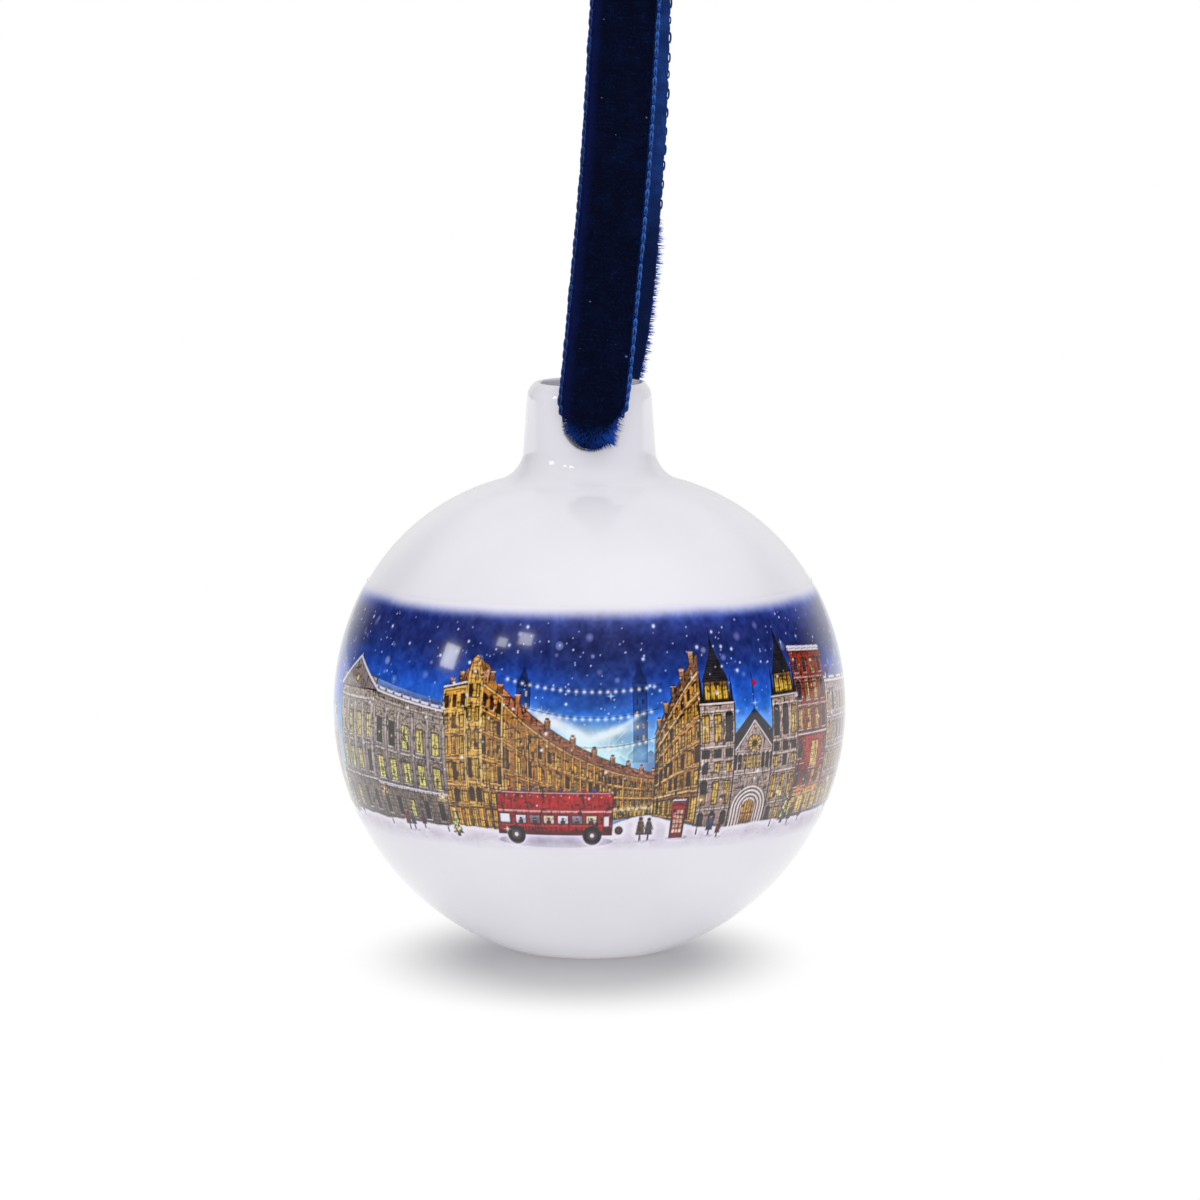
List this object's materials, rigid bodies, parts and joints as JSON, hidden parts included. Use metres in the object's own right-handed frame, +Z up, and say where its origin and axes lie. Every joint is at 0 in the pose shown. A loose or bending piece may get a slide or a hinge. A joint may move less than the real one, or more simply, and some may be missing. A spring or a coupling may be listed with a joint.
{
  "type": "hanging bauble",
  "caption": "Round hanging bauble with an open neck, a picture band round its middle and a velvet ribbon loop threaded through the neck.",
  "frame": {"origin": "the point where a hook carries the ribbon loop, under the middle of its crest", "axes": "+Z up, +X to the right of the picture's front, +Y from the front to the back, along the neck's ribbon holes. The loop leans, so the ball's axis stands 6.9 mm to the left of the origin"},
  "size_m": [0.0702, 0.0702, 0.1494],
  "materials": {
    "china": "glossy clear glaze over white china",
    "picture": "coloured transfer fired on the glaze, glossy",
    "velvet": "cut pile velvet with woven edges",
    "thread": "sewing thread"
  },
  "bodies": {
    "ribbon_top": {"ribbon_crest": "velvet", "ribbon_front_leg": "velvet", "ribbon_back_leg": "velvet", "ribbon_lap": "velvet", "lap_stitches": "thread"},
    "ribbon_low": {"ribbon_saddle": "velvet"},
    "bauble": {"china_body": "china", "picture_band": "picture"}
  },
  "joints": [
    {"name": "ribbon_twist", "type": "hinge", "parent": "ribbon_top", "child": "ribbon_low", "pos_m": [-0.00694, 0, -0.075], "axis": [0, 0, 1], "range_deg": [-90, 90], "deforming": ["ribbon_front_leg", "ribbon_back_leg"]},
    {"name": "bauble_swing", "type": "hinge", "parent": "ribbon_low", "child": "bauble", "pos_m": [-0.00694, 0, -0.075], "axis": [0, 1, 0], "range_deg": [-30, 30]}
  ]
}
